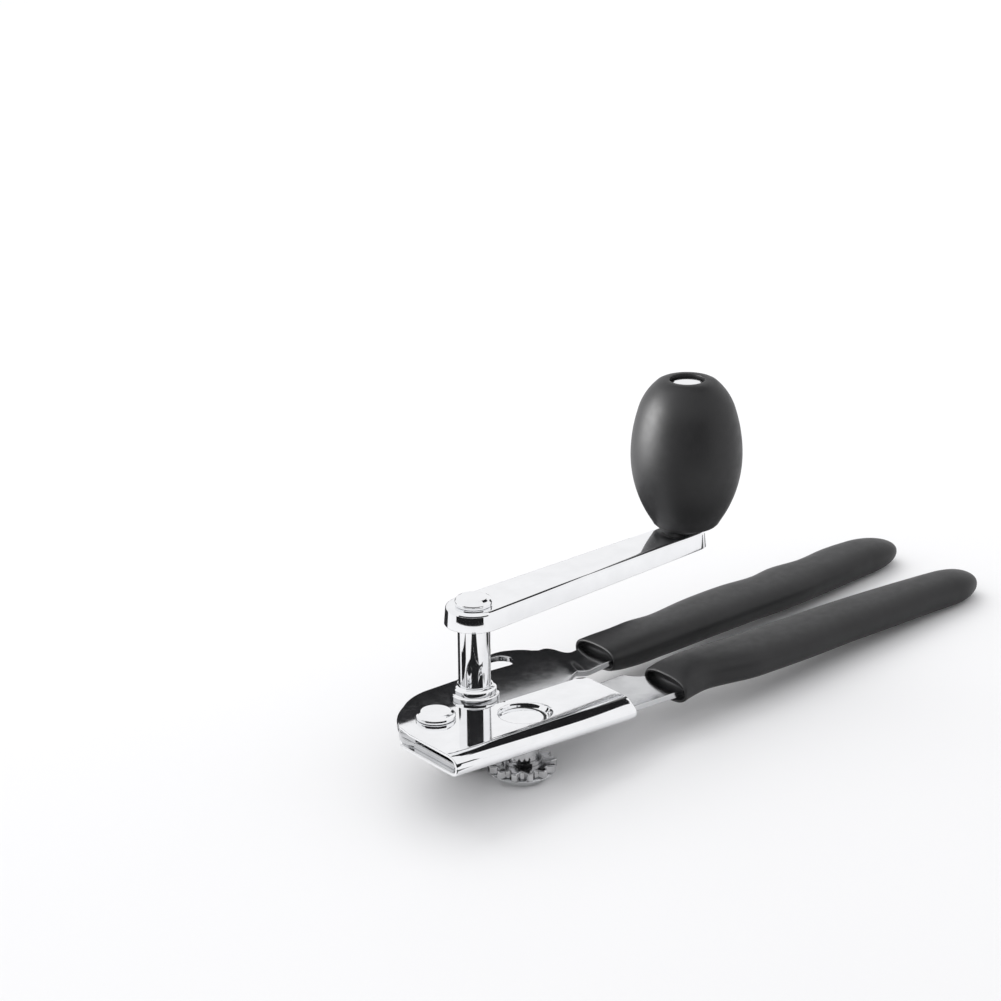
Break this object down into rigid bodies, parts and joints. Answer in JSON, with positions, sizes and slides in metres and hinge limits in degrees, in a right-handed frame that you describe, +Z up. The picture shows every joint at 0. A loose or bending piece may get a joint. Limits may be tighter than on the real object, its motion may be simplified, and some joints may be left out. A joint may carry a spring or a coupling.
{
  "type": "manual can opener",
  "caption": "Hand-crank can opener: two chromed levers with soft grips on a pivot, a tall crank with an egg-shaped knob, meshed gears, a cutting wheel and a bottle-opener hook.",
  "frame": {"origin": "on the table plane, under the centre of the bounding box, with the opener lying on its cutting wheel, its feed wheel and both grips", "axes": "+Z up from the table, +X back along the levers towards the grip ends, +Y towards the bottle-opener side; the crank axis leans slightly from +Z"},
  "size_m": [0.237, 0.067, 0.0993],
  "materials": {
    "chrome": "bright polished plating",
    "lever_chrome": "bright polished plating",
    "plain_steel": "plated pressed steel",
    "blade_steel": "ground and polished",
    "soft_black": "matt, very fine grain",
    "hard_plastic": "moulded"
  },
  "bodies": {
    "far_handle": {"bottle_opener_lever": "lever_chrome", "far_grip": "soft_black", "pivot_rivet": "chrome", "pivot_washer": "plain_steel", "crank_post": "chrome", "post_collar": "chrome", "post_lock_ring": "plain_steel"},
    "near_handle": {"near_lever": "lever_chrome", "folded_cover": "chrome", "near_grip": "soft_black", "cutter_axle": "chrome", "cutter_spacer": "plain_steel", "cutter_washer": "plain_steel"},
    "crank": {"crank_spindle": "chrome", "hub_spacer": "chrome", "crank_arm": "chrome", "drive_gear": "plain_steel", "drive_washer": "plain_steel", "feed_wheel": "plain_steel", "feed_spacer": "plain_steel", "feed_retainer": "plain_steel", "knob_pin": "chrome", "knob_base_washer": "chrome", "knob_top_washer": "chrome"},
    "knob": {"knob_grip": "soft_black", "knob_core": "hard_plastic", "knob_lower_bush": "hard_plastic", "knob_upper_bush": "hard_plastic"},
    "cutter": {"cutter_gear": "plain_steel", "cutting_wheel": "blade_steel"}
  },
  "joints": [
    {"name": "lever_hinge", "type": "hinge", "parent": "far_handle", "child": "near_handle", "pos_m": [-0.10307, 0.00167, 0.02501], "axis": [-0.0856, 0.0236, -0.9961], "range_deg": [0, 30]},
    {"name": "crank_turn", "type": "hinge", "parent": "far_handle", "child": "crank", "pos_m": [-0.08114, 0.00897, 0.0233], "axis": [0.0856, -0.0236, 0.9961], "continuous": true},
    {"name": "knob_turn", "type": "hinge", "parent": "crank", "child": "knob", "pos_m": [0.01726, 0.01594, 0.01501], "axis": [0.0856, -0.0236, 0.9961], "continuous": true},
    {"name": "cutter_turn", "type": "hinge", "parent": "near_handle", "child": "cutter", "pos_m": [-0.08016, -0.01325, 0.02269], "axis": [0.0856, -0.0236, 0.9961], "continuous": true}
  ],
  "couplings": [
    {"joint": "cutter_turn", "follows": "crank_turn", "ratio": -1}
  ]
}
